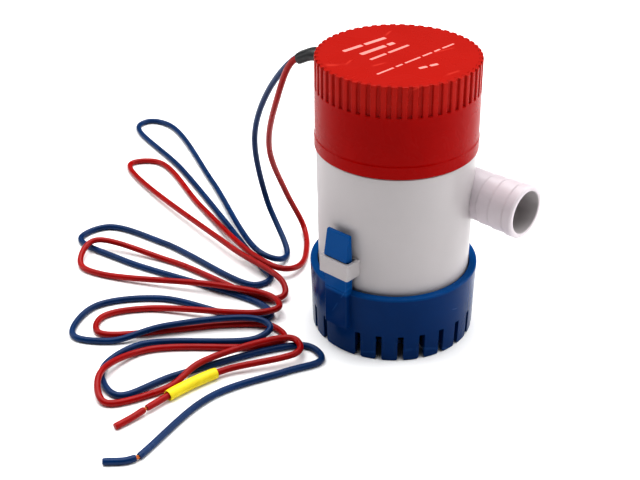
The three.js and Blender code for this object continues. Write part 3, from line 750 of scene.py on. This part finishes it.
# Plain bars stand for the printing on the cap.
PRINT_ROWS = [  # first bar's start, direction of the row in degrees, bar lengths, bar width
    ((-16.7, -11.6), 82, (9.2, 10.4), 1.8),
    ((-10, -9.6), 83.5, (12.5, 3.2), 2.0),
    ((-4.1, -11.2), 85.7, (8.2, 10.8), 1.3),
    ((6.4, -20), 86, (8.5, 3.4, 8.2, 5, 3.2, 6.4), 0.9),
    ((14.2, -6), 71.6, (3.4, 3.4), 1.5),
]
PRINT_GAP = 1.3


def cap_print():
    piece = None
    for (x, y), direction, lengths, width in PRINT_ROWS:
        at = 0
        for length in lengths:
            half = width / 2
            corner = min(0.4, half * 0.6)
            outline = filleted([
                (at, -half, corner), (at + length, -half, corner), (at + length, half, corner),
                (at, half, corner),
            ])
            bar = extruded("bar", outline, 114.42, 114.52)
            start = Matrix.Translation((x * MM, y * MM, 0))
            placed(bar, start @ Matrix.Rotation(math.radians(direction), 4, "Z"))
            if piece is None:
                piece = bar
            else:
                joined_meshes(piece, bar)
            at += length + PRINT_GAP
    piece.name = "cap_print"
    piece.data.materials.append(PRINT_WHITE)
    return piece


marks = cap_print()
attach(marks, "pump")


# ---------- pump body ----------
def pump_body():
    shell = filleted([
        (BODY_INNER_R, 13.2, 0.3), (29.6, 13.2, 0.5), (BODY_LOW_R, 28.6), (BODY_TOP_R, 78.3, 0.4),
        (NECK_R, 78.3), (NECK_R, 82), (NECK_R - 1.3, 82), (NECK_R - 1.3, 84.2), (NECK_R, 84.2),
        (NECK_R, 90, 0.3), (BODY_INNER_R, 90, 0.3),
    ])
    body = lathed("pump_body_skin", shell, 180, BODY_WHITE)
    spout = filleted([
        (0, 0), (9.75, 0), (9.8, 31.2, 0.5), (10.08, 32, 0.4), (9.95, 37, 0.5), (10.32, 37.9, 0.5),
        (10.2, 43.3, 0.6), (10.62, 44.3, 0.7), (10.62, NOZZLE_END_X, 1.1), (NOZZLE_BORE_R, NOZZLE_END_X, 0.5),
        (NOZZLE_BORE_R, 40), (0, 40),
    ])
    on_axis = Matrix.Translation((0, NOZZLE_Y * MM, NOZZLE_Z * MM))
    along_x = on_axis @ Matrix.Rotation(math.pi / 2, 4, "Y")
    nozzle = placed(lathed("nozzle", spout, 96), along_x)
    solids = [nozzle]
    eyes = []
    for direction in LATCHES.values():
        turn = Matrix.Rotation(math.radians(direction), 4, "Z")
        outer = filleted([(28, -7.1), (36.4, -7.1, 0.7), (36.4, 7.1, 0.7), (28, 7.1)])
        inner = filleted([(30.05, -5.9), (34.7, -5.9, 0.4), (34.7, 5.9, 0.4), (30.05, 5.9)])
        solids.append(placed(extruded("loop", outer, 35.8, 42.5), turn))
        eyes.append(placed(extruded("eye", inner, 34, 44), turn))
    combined(body, solids, "UNION")
    bore = lathed("bore", [(0, 4), (NOZZLE_BORE_R, 4), (NOZZLE_BORE_R, 46), (0, 46)], 96)
    placed(bore, along_x)
    inside = lathed("inside", [(0, 5), (BODY_INNER_R, 5), (BODY_INNER_R, 99), (0, 99)], 180)
    combined(body, [inside, bore] + eyes, "DIFFERENCE")
    softened(body, 0.35, 40)
    # the nozzle's outside gets a lighter copy of the body's white: painted light on the nozzle
    body.data.materials.append(NOZZLE_PAINTED_LIGHT_WHITE)
    for face in body.data.polygons:
        x, y, z = face.center / MM
        from_axis = math.hypot(y - NOZZLE_Y, z - NOZZLE_Z)
        if math.hypot(x, y) > 30.8 and z > 45 and from_axis > NOZZLE_BORE_R + 0.2:
            face.material_index = 1
    return smoothed(body, 40)


body = pump_body()
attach(body, "pump")
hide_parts("pump_body")


# ---------- strainer base ----------
def strainer_base():
    wall = filleted([
        (29.4, 3.5), (30.8, 3.5), (30.8, 0, 0.3), (32.4, 0, 0.4), (32.75, 12), (33.3, 28.6, 0.9),
        (30.2, 28.6, 0.5), (30.2, 12.9), (27.4, 12.9), (27.4, 11.4), (29.4, 11.4),
    ])
    base = lathed("strainer_base_skin", wall, 192, BASE_BLUE)
    floor = lathed("floor", [(0, 3.5), (30.6, 3.5), (30.6, 5.5), (0, 5.5)], 96)
    foot = lathed("foot", filleted([(0, 0), (7, 0, 0.5), (7, 4), (0, 4)]), 48)
    solids = [floor, foot]
    cutters = []
    for side in (-1, 1):
        across = Matrix.Translation((side * 18 * MM, 0, 0))
        solids.append(placed(lathed("pad", [(0, 0), (4.6, 0), (4.6, 5), (0, 5)], 40), across))
        cutters.append(placed(lathed("hole", [(0, -1), (2.3, -1), (2.3, 7), (0, 7)], 32), across))
    for direction in LATCHES.values():
        plan = filleted([(31, -5.5), (35.1, -5.5, 0.6), (35.1, 5.5, 0.6), (31, 5.5)])
        turn = Matrix.Rotation(math.radians(direction), 4, "Z")
        solids.append(placed(extruded("panel", plan, 13, 29.25), turn))
    combined(base, solids, "UNION")
    half = SLOT_WIDTH / 2
    slot_outline = filleted([
        (-half - 2, -2), (half + 2, -2), (half + 2, 0), (half, 0, 1.2), (half, 11.2, 0.25),
        (-half, 11.2, 0.25), (-half, 0, 1.2), (-half - 2, 0),
    ])
    # the slots' outline stands upright and is pushed outwards
    outwards = Matrix(((0, 0, 1, 0), (1, 0, 0, 0), (0, 1, 0, 0), (0, 0, 0, 1)))
    for angle in range(0, 360, SLOT_PITCH):
        if angle in (90, 270):  # the latch panels are there
            continue
        turn = Matrix.Rotation(math.radians(angle), 4, "Z")
        cutters.append(placed(extruded("slot", slot_outline, 26, 35), turn @ outwards))
    combined(base, cutters, "DIFFERENCE")
    softened(base, 0.28, 40)
    return smoothed(base, 40)


base = strainer_base()
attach(base, "pump")
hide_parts("strainer_base")


# ---------- latch arms ----------
def latch_arm(side, direction):
    """A flat strip on a thicker root, with a barb that starts above the loop and tapers to the top."""
    profile = filleted([
        (31.6, 29.4), (33.9, 29.4), (33.9, 42.9), (35.45, 42.9, 0.25), (33.55, 53.6, 0.7),
        (32.1, 53.6, 0.4), (31.6, 42.5),
    ])
    strip = placed(extruded("strip", profile, -5.5, 5.5, BASE_BLUE), upright(direction))
    softened(strip, 0.45, 50)
    plan = filleted([(31.6, -5.5), (35.1, -5.5, 0.6), (35.1, 5.5, 0.6), (31.6, 5.5)])
    turn = Matrix.Rotation(math.radians(direction), 4, "Z")
    root = placed(extruded("root", plan, 29.4, 35.4), turn)
    combined(strip, [root], "UNION")
    strip.name = f"latch_arm_{side}_skin"
    return smoothed(strip, 40)


for side, direction in LATCHES.items():
    arm = latch_arm(side, direction)
    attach(arm, f"latch_{side}")
    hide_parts(f"latch_arm_{side}")


# ---------- floor and light: metres, watts, and degrees for the sun's spread ----------
FLOOR_REACH = 12.0
LIGHTS = [  # name, place, target, width, height, power
    ("left_box", (-0.66, -0.47, 0.35), (0, 0, 0.06), 0.4, 0.6, 2.0),
    ("right_box", (0.49, 0.65, 0.35), (0, 0, 0.06), 0.4, 0.6, 3.1),
    ("nozzle_strip", (0.5, 0.12, 0.32), (0.03, 0.03, 0.05), 0.1, 0.5, 0.6),
]
SUN_STRENGTH = 4.3
SUN_SPREAD = 70
SUN_DIRECTION = (0.15, -0.2, -1)
WORLD_STRENGTH = 0.06


def add_floor():
    mesh = bpy.data.meshes.new("floor_sheet")
    corners = [(x * FLOOR_REACH, y * FLOOR_REACH, 0) for x, y in ((-1, -1), (1, -1), (1, 1), (-1, 1))]
    mesh.from_pydata(corners, [], [(0, 1, 2, 3)])
    floor = bpy.data.objects.new("floor_sheet", mesh)
    bpy.context.collection.objects.link(floor)
    shader = Shader("floor_paper")
    paper = shader.mix(shader.noise(3, 2), (0.93, 0.93, 0.93, 1), (0.95, 0.95, 0.95, 1))
    shader.link(paper, "Base Color")
    shader.surface.inputs["Roughness"].default_value = 0.9
    shader.surface.inputs["Specular IOR Level"].default_value = 0.1
    mesh.materials.append(shader.material)


add_floor()


def add_light(name, kind, energy, aim, place=(0, 0, 0)):
    """A lamp that shines along the direction aim. Returns its settings."""
    data = bpy.data.lights.new(name, kind)
    data.energy = energy
    lamp = bpy.data.objects.new(name, data)
    lamp.location = place
    lamp.rotation_euler = aim.to_track_quat("-Z", "Y").to_euler()
    bpy.context.collection.objects.link(lamp)
    return data


sun = add_light("overhead", "SUN", SUN_STRENGTH, Vector(SUN_DIRECTION))
sun.angle = math.radians(SUN_SPREAD)
for name, place, target, width, height, power in LIGHTS:
    box = add_light(name, "AREA", power, Vector(target) - Vector(place), place)
    box.shape = "RECTANGLE"
    box.size = width
    box.size_y = height

world = bpy.data.worlds.new("studio")
world.use_nodes = True
background = world.node_tree.nodes["Background"]
background.inputs["Color"].default_value = (1, 1, 1, 1)
background.inputs["Strength"].default_value = WORLD_STRENGTH
scene = bpy.context.scene
scene.world = world
scene.view_settings.view_transform = "Standard"
scene.view_settings.look = "Medium High Contrast"
